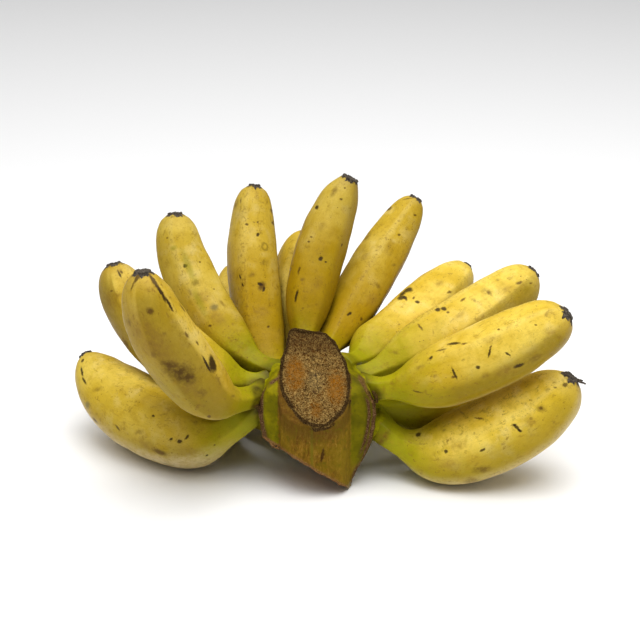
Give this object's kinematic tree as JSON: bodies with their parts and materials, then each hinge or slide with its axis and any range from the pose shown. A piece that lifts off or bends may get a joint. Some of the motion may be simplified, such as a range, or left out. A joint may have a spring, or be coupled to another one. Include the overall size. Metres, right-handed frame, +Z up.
{
  "type": "banana hand",
  "caption": "Hand of small stubby bananas joined to one crown with a cut length of bunch stalk, lying on a surface with the fingers fanned out and curving up.",
  "frame": {"origin": "centre of the footprint's bounding box, on the surface the hand lies on", "axes": "+X along the spread of the fingers, the longest extent, to the right seen from the cut stalk's side; +Y from the stalk towards the rear fingers; +Z up, the shortest extent"},
  "size_m": [0.2648, 0.1754, 0.1418],
  "materials": {
    "peel": "waxy satin peel, yellow, green towards the neck, with brown specks",
    "crown": "matt fibrous plant tissue, green sides, brown cut face",
    "dried_end": "matt, dry and brittle"
  },
  "bodies": {
    "root": {"crown_stalk": "crown", "finger_right_low": "peel", "finger_right_mid": "peel", "finger_right_high": "peel", "finger_right_rear": "peel", "finger_rear_right": "peel", "finger_rear_centre": "peel", "finger_rear_left": "peel", "finger_left_high": "peel", "finger_left_front": "peel", "finger_left_mid": "peel", "finger_left_outer": "peel", "finger_left_low": "peel", "finger_under_centre": "peel", "finger_under_left": "peel", "finger_right_under": "peel", "finger_under_right": "peel", "finger_left_under": "peel", "end_right_low": "dried_end", "end_right_mid": "dried_end", "end_right_high": "dried_end", "end_right_rear": "dried_end", "end_rear_right": "dried_end", "end_rear_centre": "dried_end", "end_rear_left": "dried_end", "end_left_high": "dried_end", "end_left_front": "dried_end", "end_left_mid": "dried_end", "end_left_outer": "dried_end", "end_left_low": "dried_end", "end_under_centre": "dried_end", "end_under_left": "dried_end", "end_right_under": "dried_end", "end_under_right": "dried_end", "end_left_under": "dried_end"}
  },
  "joints": []
}
